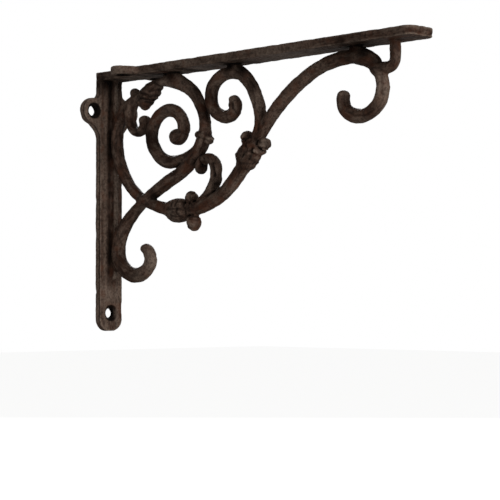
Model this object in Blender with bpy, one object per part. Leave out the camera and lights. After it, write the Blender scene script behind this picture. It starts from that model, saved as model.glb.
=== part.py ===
"""A scrolled cast-iron wall bracket for a shelf or a hanging plant, cast in one piece.

+X runs out from the wall, +Y sideways and +Z up. The origin is the middle of the wall strap's
back face. Sizes are in millimetres until a mesh is made; heights in the pattern of scrolls are
measured from the top of the shelf arm, so they are negative.
"""
import math

import bpy
import numpy as np

MM = 0.001

# Wall strap
STRAP_HEIGHT = 152.0
STRAP_WIDTH = 16.3
STRAP_THICK = 4.5
STRAP_END_RADIUS = 7.0
TOP = STRAP_HEIGHT / 2
EAR_RADIUS = 7.6
EAR_OUT = 12.9
STRAP_EAR_DROP = 23.0
STRAP_EAR_FILLETS = (3.5, 13.5)
FOOT_HOLE_UP = 10.5

# Rib down the middle of the strap, which the scrolls grow from
RIB_WIDTH = 7.5
RIB_REACH = 9.4
RIB_LENGTH = 122.0

# Shelf arm
ARM_LENGTH = 244.5
ARM_WIDTH = 20.0
ARM_THICK = 4.8
ARM_NECK_WIDTH = STRAP_WIDTH
ARM_EAR_AT = 31.0
ARM_EAR_FILLETS = (5.2, 4.5)
ARM_TIP_RADIUS = 5.0

# Countersunk screw holes
HOLE_THROAT = 5.8
HOLE_RIM = 9.2
HOLE_SIDES = 20

# Soft edges and section of the cast rods
PLATE_EDGE = 0.7
ROD_DEPTH = 8.0
ROD_FACE = 0.38
ROD_SIDE = 0.30

# Widths of the rods, seen from the side
RING_WIDTH = 5.6
RING_SHOULDER_WIDTH = 7.4
BAND_WIDTH = 6.8
SPIRAL_WIDTH = 6.7
SIX_WIDTH = 6.0
SIX_SHOULDER_WIDTH = 7.2
STEM_LOW_WIDTH = 7.6
STEM_HIGH_WIDTH = 6.3
END_WIDTH = 6.7
END_SHOULDER_WIDTH = 8.0
DIAGONAL_WIDTH = 6.8
HOOK_NECK_WIDTH = 4.8
HOOK_THROAT_WIDTH = 7.2
HOOK_WIDTH = 8.6
HOOK_TIP_WIDTH = 6.0
CURL_WIDTH = 6.2
TENDRIL_WIDTH = 5.2
STRUT_WIDTH = 3.0
STRUT_ROOT_WIDTH = 7.0
WEB_WIDTH = 4.4
STRUT_DEPTH = 6.4

# A rod turns by at most this much, and runs on for at most this far, between two sections
SECTION_TURN = math.radians(15.0)
SECTION_STEP = 9.0


def polar(centre, *stations):
    """A scroll about a centre: its radius runs smoothly through (angle in degrees, radius)."""
    angles, radii = np.array(stations, float).T
    at = np.linspace(0.0, len(angles) - 1.0, 16 * (len(angles) - 1) + 1)
    turn = np.radians(smooth(angles, at))
    radius = smooth(radii, at)
    return np.stack([centre[0] + radius * np.cos(turn), centre[1] + radius * np.sin(turn)], axis=1)


def smooth(values, at):
    """Catmull-Rom curve through evenly spaced values, read at the places in `at`."""
    padded = np.concatenate([[2 * values[0] - values[1]], values, [2 * values[-1] - values[-2]]])
    left = np.clip(at.astype(int), 0, len(values) - 2)
    t = at - left
    a, b, c, d = (padded[left + i] for i in range(4))
    return b + 0.5 * t * (c - a + t * (2 * a - 5 * b + 4 * c - d + t * (3 * (b - c) + d - a)))


def bend(start, start_heading, start_pull, end, end_heading, end_pull):
    """A cubic Bezier curve between two points, with headings in degrees and pulls in millimetres."""
    start, end = np.array(start, float), np.array(end, float)
    first = start + start_pull * direction(start_heading)
    last = end - end_pull * direction(end_heading)
    t = np.linspace(0.0, 1.0, 33)[:, None]
    return (1 - t) ** 3 * start + 3 * t * (1 - t) ** 2 * first + 3 * t**2 * (1 - t) * last + t**3 * end


def direction(degrees):
    return np.array([math.cos(math.radians(degrees)), math.sin(math.radians(degrees))])


def heading(path, which):
    """Heading in degrees of a path at its first or last point."""
    step = path[1] - path[0] if which == "first" else path[-1] - path[-2]
    return math.degrees(math.atan2(step[1], step[0]))


def chain(*paths):
    """Paths put end to end, without doubled points."""
    points = np.concatenate(paths)
    apart = np.hypot(*np.diff(points, axis=0).T) > 1e-3
    return points[np.concatenate([[True], apart])]


def stations_on(path, values):
    """The path thinned to the sections that its turns need, with the values read there."""
    steps = np.diff(path, axis=0)
    lengths = np.hypot(steps[:, 0], steps[:, 1])
    headings = np.unwrap(np.arctan2(steps[:, 1], steps[:, 0]))
    turns = np.abs(np.gradient(headings))
    cost = np.concatenate([[0.0], np.cumsum(lengths / SECTION_STEP + turns / SECTION_TURN)])
    at = np.linspace(0.0, cost[-1], int(math.ceil(cost[-1])) + 1)
    run = np.concatenate([[0.0], np.cumsum(lengths)]) / lengths.sum()
    points = np.stack([np.interp(at, cost, path[:, i]) for i in (0, 1)], axis=1)
    share = np.interp(at, cost, run)
    return points, np.interp(share, np.linspace(0.0, 1.0, len(values)), values)


def solid(name, points, faces):
    """A mesh object from points in millimetres, with z measured from the top of the shelf arm."""
    mesh = bpy.data.meshes.new(name)
    points = (np.array(points, float) + (0.0, 0.0, TOP)) * MM
    mesh.from_pydata(points.tolist(), [], faces)
    made = bpy.data.objects.new(name, mesh)
    bpy.context.scene.collection.objects.link(made)
    return made


def tube_faces(rings, sides):
    """Faces of a closed tube of rings, with a flat face at each end."""
    quads = []
    for i in range(rings - 1):
        for j in range(sides):
            k = (j + 1) % sides
            quads.append((i * sides + j, i * sides + k, (i + 1) * sides + k, (i + 1) * sides + j))
    first = tuple(range(sides))[::-1]
    last = tuple((rings - 1) * sides + j for j in range(sides))
    return quads + [first, last]


def rod(name, path, widths, depth=ROD_DEPTH):
    """A cast rod along a path: full width at the mid-plane, bevelled to a narrow flat on each side."""
    points, width = stations_on(path, np.atleast_1d(np.array(widths, float)))
    along = np.gradient(points, axis=0)
    along /= np.hypot(along[:, 0], along[:, 1])[:, None]
    across = np.stack([-along[:, 1], along[:, 0]], axis=1)
    section = [(-1, ROD_FACE), (-ROD_SIDE, 1), (ROD_SIDE, 1), (1, ROD_FACE)]
    section += [(y, -s) for y, s in section[::-1]]
    rings = []
    for point, normal, wide in zip(points, across, width):
        for y, s in section:
            x, z = point + normal * s * wide / 2
            rings.append((x, y * depth / 2, z))
    return solid(name, rings, tube_faces(len(points), len(section)))


def ball(name, centre, radius, depth=None, sides=12, rings=7):
    """A cast boss: a ball, or a lens where its depth differs from its radius."""
    return bud(name, centre, 0.0, radius, radius, depth or radius, 0, 0.0, sides, rings)


def bud(name, centre, tilt, long, high, deep, leaves, carve, sides=16, rings=9):
    """A rounded bud along a heading, with leaf folds: its girth swells at each leaf by the share carve."""
    axis, up = direction(tilt), direction(tilt + 90)
    points = []
    for u in np.cos(np.linspace(math.pi, 0.0, rings + 2)[1:-1]):
        for turn in np.arange(sides) * 2 * math.pi / sides:
            girth = math.sqrt(1 - u * u) * (1 + carve * math.cos(leaves * turn))
            x, z = np.array(centre) + axis * u * long + up * high * girth * math.cos(turn)
            points.append((x, -deep * girth * math.sin(turn), z))
    tips = [np.array(centre) - axis * long, np.array(centre) + axis * long]
    faces = tube_faces(rings, sides)[:-2]
    first, last = len(points), len(points) + 1
    for j in range(sides):
        k = (j + 1) % sides
        faces.append((first, k, j))
        faces.append((last, (rings - 1) * sides + j, (rings - 1) * sides + k))
    points += [(x, 0.0, z) for x, z in tips]
    return solid(name, points, faces)


def arc(centre, radius, start, end, steps):
    turns = np.radians(np.linspace(start, end, steps + 1))
    return [(centre[0] + radius * math.cos(t), centre[1] + radius * math.sin(t)) for t in turns]


def ear_edge(side_before, side_after, ear, fillets):
    """One edge of a strip, as (along, out), past an ear with a hollow fillet on either side of it.

    Each fillet circle touches the strip's straight side and the ear's circle.
    """
    drawn = []
    meets = []
    for side, radius, way in ((side_before, fillets[0], -1), (side_after, fillets[1], 1)):
        out = side + radius - EAR_OUT
        run = math.sqrt((EAR_RADIUS + radius) ** 2 - out**2)
        meets.append((ear + way * run, side + radius, radius))
    for (along, out, radius), way in zip(meets, (-1, 1)):
        lean = math.degrees(math.atan2(out - EAR_OUT, along - ear))
        drawn.append(((along, out), radius, lean, way))
    (c0, r0, lean0, _), (c1, r1, lean1, _) = drawn
    points = arc(c0, r0, 270, lean0 + 180 if lean0 > 0 else lean0 + 540, 5)
    points += arc((ear, EAR_OUT), EAR_RADIUS, lean0 % 360, lean1, 11)[1:]
    points += arc(c1, r1, lean1 + 180, 270, 5)[1:]
    return points


def plate(name, outline, thick, place):
    """A flat plate: an outline of (along, out) points, given its thickness; place maps it to x, y, z."""
    count = len(outline)
    points = [place(a, o, h) for h in (0.0, thick) for a, o in outline]
    sides = [(i, (i + 1) % count, count + (i + 1) % count, count + i) for i in range(count)]
    made = solid(name, points, sides + [tuple(range(count))[::-1], tuple(range(count, 2 * count))])
    make_outward(made)
    edge = made.modifiers.new("Soft edges", "BEVEL")
    edge.width = PLATE_EDGE * MM
    edge.segments = 1
    edge.limit_method = "ANGLE"
    edge.angle_limit = math.radians(40)
    return made


def make_outward(made):
    """Turns the faces round if they point inwards: the volume they enclose is then negative."""
    made.data.calc_loop_triangles()
    corners = np.array([[made.data.vertices[v].co for v in t.vertices] for t in made.data.loop_triangles])
    if np.linalg.det(corners).sum() < 0:
        made.data.flip_normals()


def mirrored(edge):
    """A closed outline from one edge, with the other side its mirror image."""
    return edge + [(along, -out) for along, out in edge[::-1]]


def strap():
    half = STRAP_WIDTH / 2
    edge = [(0.0, half)] + ear_edge(half, half, STRAP_EAR_DROP, STRAP_EAR_FILLETS)
    corner = (STRAP_HEIGHT - STRAP_END_RADIUS, half - STRAP_END_RADIUS)
    edge += arc(corner, STRAP_END_RADIUS, 90, 0, 6)
    return plate("strap", mirrored(edge), STRAP_THICK, lambda a, o, h: (h, o, -a))


def arm():
    neck, half = ARM_NECK_WIDTH / 2, ARM_WIDTH / 2
    edge = [(0.0, neck)] + ear_edge(neck, half, ARM_EAR_AT, ARM_EAR_FILLETS)
    edge += arc((ARM_LENGTH - ARM_TIP_RADIUS, half - ARM_TIP_RADIUS), ARM_TIP_RADIUS, 90, 0, 4)
    return plate("arm", mirrored(edge), ARM_THICK, lambda a, o, h: (a, o, h - ARM_THICK))


def rib():
    half = RIB_WIDTH / 2
    edge = [(1.0, half), (RIB_LENGTH - 4.0, half), (RIB_LENGTH, half * 0.5)]
    return plate("rib", mirrored(edge), RIB_REACH - 1.0, lambda a, o, h: (1.0 + h, o, -a))


def drill(name, x, y, z, towards, thick):
    """Cutter for a countersunk hole: towards is the way its wide mouth faces, thick the plate's."""
    throat, rim, past = HOLE_THROAT / 2, HOLE_RIM / 2, 1.0
    profile = [(throat, -past), (throat, thick - rim + throat), (rim, thick), (rim + past, thick + past)]
    outward = np.array(towards, float)
    side = np.array([0.0, 1.0, 0.0])
    other = np.cross(outward, side)
    turns = np.arange(HOLE_SIDES) * 2 * math.pi / HOLE_SIDES
    points = []
    for radius, height in profile:
        for t in turns:
            points.append((x, y, z) + outward * height + radius * (side * math.cos(t) + other * math.sin(t)))
    made = solid(name, points, tube_faces(len(profile), HOLE_SIDES))
    make_outward(made)
    return made


def ring():
    """The big teardrop ring: from the collar over the top, down the strap and on into the lower bud."""
    loop = polar((48.0, -40.0), (-30, 32.0), (0, 38.2), (30, 38.6), (60, 33.6), (90, 30.4),
                 (120, 27.3), (150, 35.6), (180, 38.2), (210, 36.8), (240, 38.0))
    band = bend(loop[-1], heading(loop, "last"), 9.0, (62.0, -82.7), -4.0, 12.0)
    widths = [RING_WIDTH, RING_WIDTH, RING_SHOULDER_WIDTH, RING_SHOULDER_WIDTH, RING_WIDTH]
    widths += [RING_WIDTH + 0.6] * 4 + [RING_WIDTH, BAND_WIDTH]
    return rod("ring", chain(loop, band), widths)


def spiral():
    """The spiral inside the ring, from the ring's collar to the ball at its heart."""
    turn = polar((57.5, -40.5), (-90, 15.2), (-135, 15.6), (-180, 16.5), (-225, 15.6), (-270, 14.4),
                 (-315, 13.2), (-350, 11.2), (-378, 8.0))
    lead = bend((86.0, -41.0), -105.0, 9.0, turn[0], heading(turn, "first"), 12.0)
    return rod("spiral", chain(lead, turn), [SPIRAL_WIDTH])


def diagonal():
    """The limb from the collar down across the ring to the hook at the foot."""
    hook = polar((25.8, -106.0), (180, 15.0), (210, 14.2), (240, 13.4), (270, 13.2), (300, 13.8),
                 (325, 14.6), (342, 14.6), (357, 12.8), (369, 10.4))
    upper = bend((86.0, -42.0), -100.0, 9.0, (62.0, -63.5), -158.0, 12.0)
    lower = bend((62.0, -63.5), -158.0, 37.3, hook[0], -90.0, 13.5)
    widths = [DIAGONAL_WIDTH] * 3 + [HOOK_NECK_WIDTH] * 2 + [HOOK_THROAT_WIDTH]
    widths += [HOOK_WIDTH] * 3 + [HOOK_TIP_WIDTH]
    return rod("diagonal", chain(upper, lower, hook), widths)


def stem():
    """The main stem: from the lower bud through the upper bud, under the arm and round the end scroll."""
    end = polar((203.0, -27.0), (112, 18.2), (88, 14.9), (60, 14.4), (30, 14.6), (0, 14.7), (-30, 14.2),
                (-60, 13.9), (-98, 13.7), (-134, 14.3), (-158, 13.4), (-169, 12.2))
    low = bend((62.0, -83.6), -2.0, 36.0, (122.0, -56.0), 48.0, 18.5)
    high = bend((122.0, -56.0), 55.0, 32.0, end[0], heading(end, "first"), 30.0)
    widths = [STEM_LOW_WIDTH] * 5 + [STEM_HIGH_WIDTH] * 7 + [END_SHOULDER_WIDTH] + [END_WIDTH] * 6
    return rod("stem", chain(low, high, end), widths)


def six():
    """The scroll like a figure six between the ring and the upper bud."""
    turn = polar((104.5, -22.0), (-28, 29.6), (-14, 24.4), (5, 19.8), (35, 16.0), (77, 12.8), (121, 12.2),
                 (155, 13.0), (180, 13.2), (209, 12.9), (239, 11.9), (267, 11.5), (298, 11.0),
                 (320, 9.2), (334, 6.4))
    lead = bend((124.0, -54.0), 62.0, 6.0, turn[0], heading(turn, "first"), 6.0)
    widths = [SIX_WIDTH] * 3 + [SIX_SHOULDER_WIDTH] * 2 + [SIX_WIDTH] * 6
    return rod("six", chain(lead, turn), widths)


def curl():
    """The small curl between the diagonal and the main stem."""
    turn = polar((88.5, -62.5), (-45, 8.6), (-15, 7.1), (15, 7.0), (60, 7.0), (105, 7.0), (150, 6.6))
    lead = bend((78.0, -82.0), 25.0, 8.0, turn[0], heading(turn, "first"), 5.0)
    return rod("curl", chain(lead, turn), [CURL_WIDTH])


def tendril():
    """The small hook that hangs from the leaf bud beside the strap."""
    turn = polar((29.2, -29.2), (118, 11.0), (157, 8.0), (206, 6.8), (266, 7.2), (312, 7.0), (352, 5.8))
    return rod("tendril", turn, [TENDRIL_WIDTH])


def strut():
    """The thin bowed strut that ties the end scroll to the arm."""
    widths = [STRUT_ROOT_WIDTH, STRUT_ROOT_WIDTH] + [STRUT_WIDTH] * 4
    return rod("strut", bend((214.0, -18.0), -6.0, 14.0, (226.3, -3.0), 96.0, 12.0), widths, STRUT_DEPTH)


def webs():
    """The cast webs that thicken each scroll where its shoulder leaves the underside of the arm."""
    runs = {
        "ring web": bend((57.0, -6.0), -8.0, 6.0, (80.0, -17.5), -48.0, 6.0),
        "six web": bend((106.0, -6.0), -8.0, 5.0, (121.5, -14.0), -50.0, 5.0),
        "end web": bend((198.0, -6.0), -8.0, 5.0, (214.5, -14.0), -44.0, 5.0),
    }
    return [rod(name, path, [WEB_WIDTH], ROD_DEPTH - 0.8) for name, path in runs.items()]


def bosses():
    """Scroll ends, collar knobs and the three carved buds with their knobs."""
    made = [
        ball("spiral heart", (63.2, -41.6), 4.7, 4.4),
        ball("curl end", (82.9, -59.4), 3.2, 3.7),
        ball("tendril end", (35.0, -30.2), 2.8, 3.6),
        ball("six end", (109.8, -26.0), 2.8, 3.8),
        ball("end scroll tip", (191.9, -29.8), 3.2, 3.8),
        ball("collar knob inner", (81.6, -41.9), 2.6, 3.2),
        ball("collar knob outer", (89.2, -45.4), 2.7, 3.2),
        bud("lower bud", (64.6, -83.2), -2.0, 11.0, 6.8, 6.0, 8, 0.07),
        ball("lower bud upper knob", (75.2, -76.4), 3.7, 4.2),
        bud("lower bud lower knob", (77.0, -90.0), 82.0, 5.2, 4.1, 4.6, 0, 0.0, 12, 7),
        bud("upper bud", (121.8, -55.5), 55.0, 9.8, 6.7, 5.8, 8, 0.07),
        ball("upper bud left knob", (119.6, -45.5), 3.2, 4.0),
        ball("upper bud right knob", (133.9, -50.4), 3.2, 4.0),
        bud("leaf bud", (39.0, -15.4), 28.0, 11.0, 5.6, 5.6, 8, 0.07),
        ball("leaf bud knob", (25.8, -13.4), 2.7, 3.2),
        bud("leaf bud lobe", (35.4, -20.4), 75.0, 4.0, 2.9, 3.6, 0, 0.0, 10, 5),
    ]
    return made


def cast_iron():
    """Dark brown cast iron: almost black metal under a brown painted and rubbed finish."""
    material = bpy.data.materials.new("Brown cast iron")
    material.use_nodes = True
    shader = material.node_tree.nodes["Principled BSDF"]
    shader.inputs["Base Color"].default_value = (0.040, 0.026, 0.020, 1.0)
    shader.inputs["Metallic"].default_value = 0.4
    shader.inputs["Roughness"].default_value = 0.55
    return material


def as_helpers(name, members):
    """Puts construction solids in a collection of their own, out of the render."""
    group = bpy.data.collections.new(name)
    bpy.context.scene.collection.children.link(group)
    for member in members:
        bpy.context.scene.collection.objects.unlink(member)
        group.objects.link(member)
        member.hide_render = True
        member.display_type = "WIRE"
    return group


def combine(target, operation, group):
    cut = target.modifiers.new(operation.title(), "BOOLEAN")
    cut.operation = operation
    cut.operand_type = "COLLECTION"
    cut.collection = group
    cut.solver = "EXACT"


def bracket():
    """The whole casting: strap, arm, rib and scrolls run together, then drilled for its screws."""
    casting = strap()
    casting.name = casting.data.name = "bracket"
    limbs = [arm(), rib(), ring(), spiral(), diagonal(), stem(), six(), curl(), tendril(), strut()]
    combine(casting, "UNION", as_helpers("Limbs", limbs + webs() + bosses()))
    drills = [drill("foot hole", 0, 0, FOOT_HOLE_UP - STRAP_HEIGHT, (1, 0, 0), STRAP_THICK)]
    for side in (-1, 1):
        y = side * EAR_OUT
        drills.append(drill("wall hole", 0, y, -STRAP_EAR_DROP, (1, 0, 0), STRAP_THICK))
        drills.append(drill("shelf hole", ARM_EAR_AT, y, 0, (0, 0, -1), ARM_THICK))
    combine(casting, "DIFFERENCE", as_helpers("Drills", drills))
    casting.data.materials.append(cast_iron())


def main():
    for old in list(bpy.data.objects):
        bpy.data.objects.remove(old)
    bpy.context.scene.unit_settings.system = "METRIC"
    bracket()


main()
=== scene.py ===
# %% [markdown]
# # Cast-iron plant hanger bracket
#
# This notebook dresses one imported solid, a scrolled wall bracket cast in one piece. The casting is
# built as a sampled field: each limb, bud and plate is a simple shape whose value is below zero
# inside it, and smooth minimums run them together as molten iron would, with a small fillet in each
# corner. A surface net then turns the field into a mesh.
#
# Sizes are in millimetres until the mesh is made. X runs out from the wall, Y sideways, and z in the
# pattern of scrolls is measured from the top of the shelf arm, so it is negative. The bracket is the
# same on both sides of its middle plane, so the field is sampled on one side and mirrored.

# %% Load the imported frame
import math

import bpy
import numpy as np
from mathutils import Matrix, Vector


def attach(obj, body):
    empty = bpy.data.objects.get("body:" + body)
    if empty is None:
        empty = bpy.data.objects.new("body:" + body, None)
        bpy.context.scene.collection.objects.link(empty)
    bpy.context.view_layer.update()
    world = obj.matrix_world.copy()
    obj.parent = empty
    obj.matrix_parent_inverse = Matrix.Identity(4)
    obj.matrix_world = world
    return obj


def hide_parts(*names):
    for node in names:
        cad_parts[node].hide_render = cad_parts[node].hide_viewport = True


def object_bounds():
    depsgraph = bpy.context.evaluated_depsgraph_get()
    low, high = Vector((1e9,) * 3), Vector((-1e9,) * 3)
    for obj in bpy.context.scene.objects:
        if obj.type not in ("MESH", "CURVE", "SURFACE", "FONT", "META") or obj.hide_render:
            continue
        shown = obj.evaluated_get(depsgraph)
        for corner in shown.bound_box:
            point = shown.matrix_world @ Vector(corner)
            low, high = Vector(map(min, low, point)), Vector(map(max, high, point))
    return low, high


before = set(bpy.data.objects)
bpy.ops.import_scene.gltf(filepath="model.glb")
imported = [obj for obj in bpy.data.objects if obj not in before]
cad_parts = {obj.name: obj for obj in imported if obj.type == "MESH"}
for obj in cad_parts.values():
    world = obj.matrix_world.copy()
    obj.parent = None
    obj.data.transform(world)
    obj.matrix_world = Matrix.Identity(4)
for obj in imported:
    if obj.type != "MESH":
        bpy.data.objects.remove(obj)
cad_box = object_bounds()
MM = 0.001
TOP = round(cad_box[1][2] / MM, 1)
STRAP_LONG = round((cad_box[1][2] - cad_box[0][2]) / MM, 1)
ARM_LONG = round(cad_box[1][0] / MM, 1)
print("strap", STRAP_LONG, "mm tall, arm", ARM_LONG, "mm long, its top", TOP, "mm above the middle")

# %% [markdown]
# ## Paths
#
# A scroll is a curve about a centre whose radius runs smoothly through a few stations. A limb
# between scrolls is a Bezier curve with a heading at each end.

# %% Curves in the plane of the scrolls


def direction(degrees):
    """Unit vector at an angle from +X towards +Z."""
    return np.array([math.cos(math.radians(degrees)), math.sin(math.radians(degrees))])


def smooth(values, at):
    """Catmull-Rom curve through evenly spaced values, read at the places in `at`."""
    values = np.asarray(values, float)
    padded = np.concatenate([[2 * values[0] - values[1]], values, [2 * values[-1] - values[-2]]])
    left = np.clip(at.astype(int), 0, len(values) - 2)
    t = at - left
    a, b, c, d = (padded[left + i] for i in range(4))
    return b + 0.5 * t * (c - a + t * (2 * a - 5 * b + 4 * c - d + t * (3 * (b - c) + d - a)))


def polar(centre, *stations):
    """A scroll: centre + radius * (cos angle, sin angle), smoothly through (degrees, radius)."""
    angles, radii = np.array(stations, float).T
    at = np.linspace(0.0, len(angles) - 1.0, 60 * (len(angles) - 1) + 1)
    turn = np.radians(smooth(angles, at))
    radius = smooth(radii, at)
    return np.stack([centre[0] + radius * np.cos(turn), centre[1] + radius * np.sin(turn)], axis=1)


def bend(start, start_heading, start_pull, end, end_heading, end_pull):
    """Cubic Bezier curve: (1-t)^3 A + 3t(1-t)^2 B + 3t^2(1-t) C + t^3 D, with B and C pulled out."""
    start, end = np.array(start, float), np.array(end, float)
    first = start + start_pull * direction(start_heading)
    last = end - end_pull * direction(end_heading)
    t = np.linspace(0.0, 1.0, 121)[:, None]
    return (1 - t) ** 3 * start + 3 * t * (1 - t) ** 2 * first + 3 * t**2 * (1 - t) * last + t**3 * end


def heading(path, which):
    """Heading in degrees of a path at its first or last point."""
    step = path[1] - path[0] if which == "first" else path[-1] - path[-2]
    return math.degrees(math.atan2(step[1], step[0]))


def evenly(*paths, gap=0.35):
    """Paths put end to end and resampled at even steps, with the length along at each point."""
    points = np.concatenate(paths)
    apart = np.concatenate([[1.0], np.hypot(*np.diff(points, axis=0).T)])
    points = points[apart > 1e-4]
    run = np.concatenate([[0.0], np.cumsum(np.hypot(*np.diff(points, axis=0).T))])
    at = np.linspace(0.0, run[-1], int(run[-1] / gap) + 2)
    return np.stack([np.interp(at, run, points[:, i]) for i in (0, 1)], axis=1), at


# %% [markdown]
# ## The limbs of the bracket
#
# Each limb is a path, its widths along the path, and its depth from side to side. Widths are given
# at even steps along the whole path and joined by a smooth curve.

# %% Scrolls and limbs


def limbs():
    """name: (path pieces, widths, depth from side to side)."""
    loop = polar((48.0, -40.0), (-30, 32.0), (0, 38.3), (30, 36.6), (60, 32.0), (90, 30.2),
                 (120, 27.3), (150, 35.6), (180, 38.2), (210, 37.7), (240, 38.4))
    band = bend(loop[-1], heading(loop, "last"), 9.0, (62.0, -83.0), -4.0, 12.0)
    spiral = polar((57.5, -40.5), (-90, 15.1), (-135, 14.9), (-180, 16.6), (-225, 15.7), (-270, 14.3),
                   (-315, 13.0), (-350, 11.2), (-378, 8.0))
    to_spiral = bend((86.4, -41.4), -105.0, 9.5, spiral[0], heading(spiral, "first"), 12.5)
    hook = polar((25.8, -106.0), (180, 14.6), (210, 13.9), (240, 13.4), (270, 13.5), (300, 14.5),
                 (325, 15.3), (342, 15.2), (357, 13.2), (369, 10.6))
    from_collar = bend((86.0, -42.0), -100.0, 9.0, (62.2, -63.9), -158.0, 12.0)
    to_hook = bend((62.2, -63.9), -158.0, 38.2, hook[0], -90.0, 14.6)
    end = polar((203.0, -27.0), (112, 18.2), (88, 14.9), (60, 14.4), (30, 14.6), (0, 15.0), (-30, 14.8),
                (-60, 14.1), (-98, 13.9), (-134, 14.4), (-157, 13.4), (-166, 12.3))
    stem_low = bend((62.0, -83.6), -2.0, 36.0, (122.0, -56.0), 48.0, 18.5)
    stem_high = bend((122.0, -56.0), 56.5, 32.0, end[0], heading(end, "first"), 28.0)
    six = polar((104.5, -22.0), (-28, 29.6), (-14, 24.4), (5, 19.9), (35, 15.6), (77, 12.5), (121, 12.3),
                (155, 13.2), (180, 13.2), (209, 12.9), (239, 11.9), (267, 11.5), (298, 11.0),
                (320, 9.0), (334, 6.0))
    to_six = bend((124.0, -54.0), 62.0, 6.0, six[0], heading(six, "first"), 6.0)
    curl = polar((88.5, -62.5), (-45, 8.6), (-15, 7.1), (15, 7.0), (60, 7.0), (105, 7.0), (150, 6.6))
    to_curl = bend((78.0, -82.0), 25.0, 8.0, curl[0], heading(curl, "first"), 5.0)
    tendril = polar((29.2, -29.2), (118, 11.0), (157, 8.0), (206, 6.9), (266, 7.6), (312, 7.2), (352, 5.6))
    strut = bend((214.0, -18.0), -6.0, 14.0, (225.6, -3.0), 96.0, 12.0)
    return {
        "ring": ((loop, band), [5.6, 5.6, 5.6, 5.8, 6.0, 6.2, 6.2, 6.4, 6.4, 6.6, 8.6], 8.0),
        "spiral": ((to_spiral, spiral), [5.8, 5.6, 6.2, 8.0, 7.7, 7.2, 7.2, 7.8, 6.9, 6.9], 8.0),
        "diagonal": ((from_collar, to_hook, hook), [6.8, 7.0, 7.8, 7.6, 6.0, 8.0, 9.4, 9.0, 8.4, 6.2], 8.0),
        "stem": ((stem_low, stem_high, end), [7.6, 7.6, 8.0, 8.0, 8.6, 8.4, 6.8, 7.0, 7.5, 7.6, 7.6, 7.4,
                                              7.8, 6.8, 6.8, 7.1, 7.2, 7.8, 6.6], 8.0),
        "six": ((to_six, six), [7.2, 6.8, 5.8, 6.0, 6.0, 6.8, 7.4, 6.4, 7.2, 7.4, 5.2], 8.0),
        "curl": ((to_curl, curl), [4.2, 4.5, 6.0, 6.2, 6.0], 8.0),
        "tendril": ((tendril,), [5.2] * 2, 8.0),
        "strut": ((strut,), [7.4, 7.0, 6.2] + [5.8] * 4, 6.4),
        "ring web": ((polar((48.0, -40.0), (3, 39.2), (30, 38.9), (60, 34.4), (80, 34.2)),), [4.2] * 2, 4.0),
        "ring web top": ((bend((58.0, -5.5), -8.0, 5.0, (79.0, -18.0), -48.0, 6.0),), [4.4] * 2, 4.4),
        "six web": ((polar((104.5, -22.0), (-18, 28.2), (5, 22.6), (35, 18.2), (60, 16.6)),), [3.8] * 2, 4.0),
        "six web top": ((bend((107.0, -5.5), -8.0, 4.0, (121.8, -14.2), -50.0, 5.0),), [4.4] * 2, 4.4),
        "end web": ((bend((198.0, -6.0), -8.0, 5.0, (214.4, -14.0), -44.0, 5.0),), [4.2] * 2, 4.4),
    }


LIMBS = limbs()
print(len(LIMBS), "limbs:", ", ".join(LIMBS))

# %% [markdown]
# ## The sampled field
#
# The grid covers one half of the casting, from the middle plane out. The first layer of samples lies
# half a step off the plane, so the mirrored half carries on with no seam.

# %% Grid and the joins between shapes
STEP = 0.4
GRID_X = np.arange(-3 * STEP + STEP / 2, 248.0, STEP)
GRID_Y = (np.arange(int(22.0 / STEP)) + 0.5) * STEP
GRID_Z = np.arange(-154.0 - STEP / 4, 3 * STEP, STEP)
MARGIN = 2.5  # millimetres of field worked on round a rod or boss
field = np.full((len(GRID_X), len(GRID_Y), len(GRID_Z)), 4.0, np.float32)


def joined(a, b, blend):
    """Smooth minimum: min(a, b) - h^2 * blend / 4, where h = max(blend - |a - b|, 0) / blend."""
    h = np.maximum(blend - np.abs(a - b), 0.0) / blend
    return np.minimum(a, b) - h * h * (blend / 4)


def window(axis, low, high):
    """Slice of one grid axis that covers a stretch in millimetres."""
    return slice(*np.searchsorted(axis, (low, high)))


def add(box, value, blend):
    """Runs a shape into the casting inside a window of the grid."""
    field[box] = joined(field[box], value.astype(np.float32), blend)


print("grid of", " x ".join(str(n) for n in field.shape), "samples,", STEP, "mm apart")

# %% [markdown]
# ## Plates
#
# The strap and the arm are flat plates with softened edges. Each has an outline with two rounded
# ears, and a hollow fillet where an ear leaves the plate's straight side. The rib down the strap is
# what the scrolls grow from.

# %% Outlines of the strap and the arm
EAR_RADIUS, EAR_OUT = 7.6, 12.9
STRAP_HALF, STRAP_EARS, STRAP_ROUND = 8.4, 23.0, 7.0
ARM_HALF_AT_WALL, ARM_HALF, ARM_EARS, ARM_ROUND = 8.15, 10.0, 31.0, 5.0
STRAP_FILLETS, ARM_FILLETS = (3.5, 12.0), (5.2, 4.5)


def arc(centre, radius, start, end, steps):
    """Points on a circle between two angles in degrees."""
    turns = np.radians(np.linspace(start, end, steps + 1))
    return [(centre[0] + radius * math.cos(t), centre[1] + radius * math.sin(t)) for t in turns]


def ear_edge(side_before, side_after, ear, fillets):
    """One edge past an ear: each fillet circle touches the straight side and the ear's circle."""
    before, after = fillets
    run0 = math.sqrt((EAR_RADIUS + before) ** 2 - (side_before + before - EAR_OUT) ** 2)
    run1 = math.sqrt((EAR_RADIUS + after) ** 2 - (side_after + after - EAR_OUT) ** 2)
    c0, c1 = (ear - run0, side_before + before), (ear + run1, side_after + after)
    lean0 = math.degrees(math.atan2(c0[1] - EAR_OUT, -run0)) % 360
    lean1 = math.degrees(math.atan2(c1[1] - EAR_OUT, run1))
    points = arc(c0, before, 270, lean0 + 180, 14)
    points += arc((ear, EAR_OUT), EAR_RADIUS, lean0, lean1, 40)[1:]
    return points + arc(c1, after, lean1 + 180, 270, 18)[1:]


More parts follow.
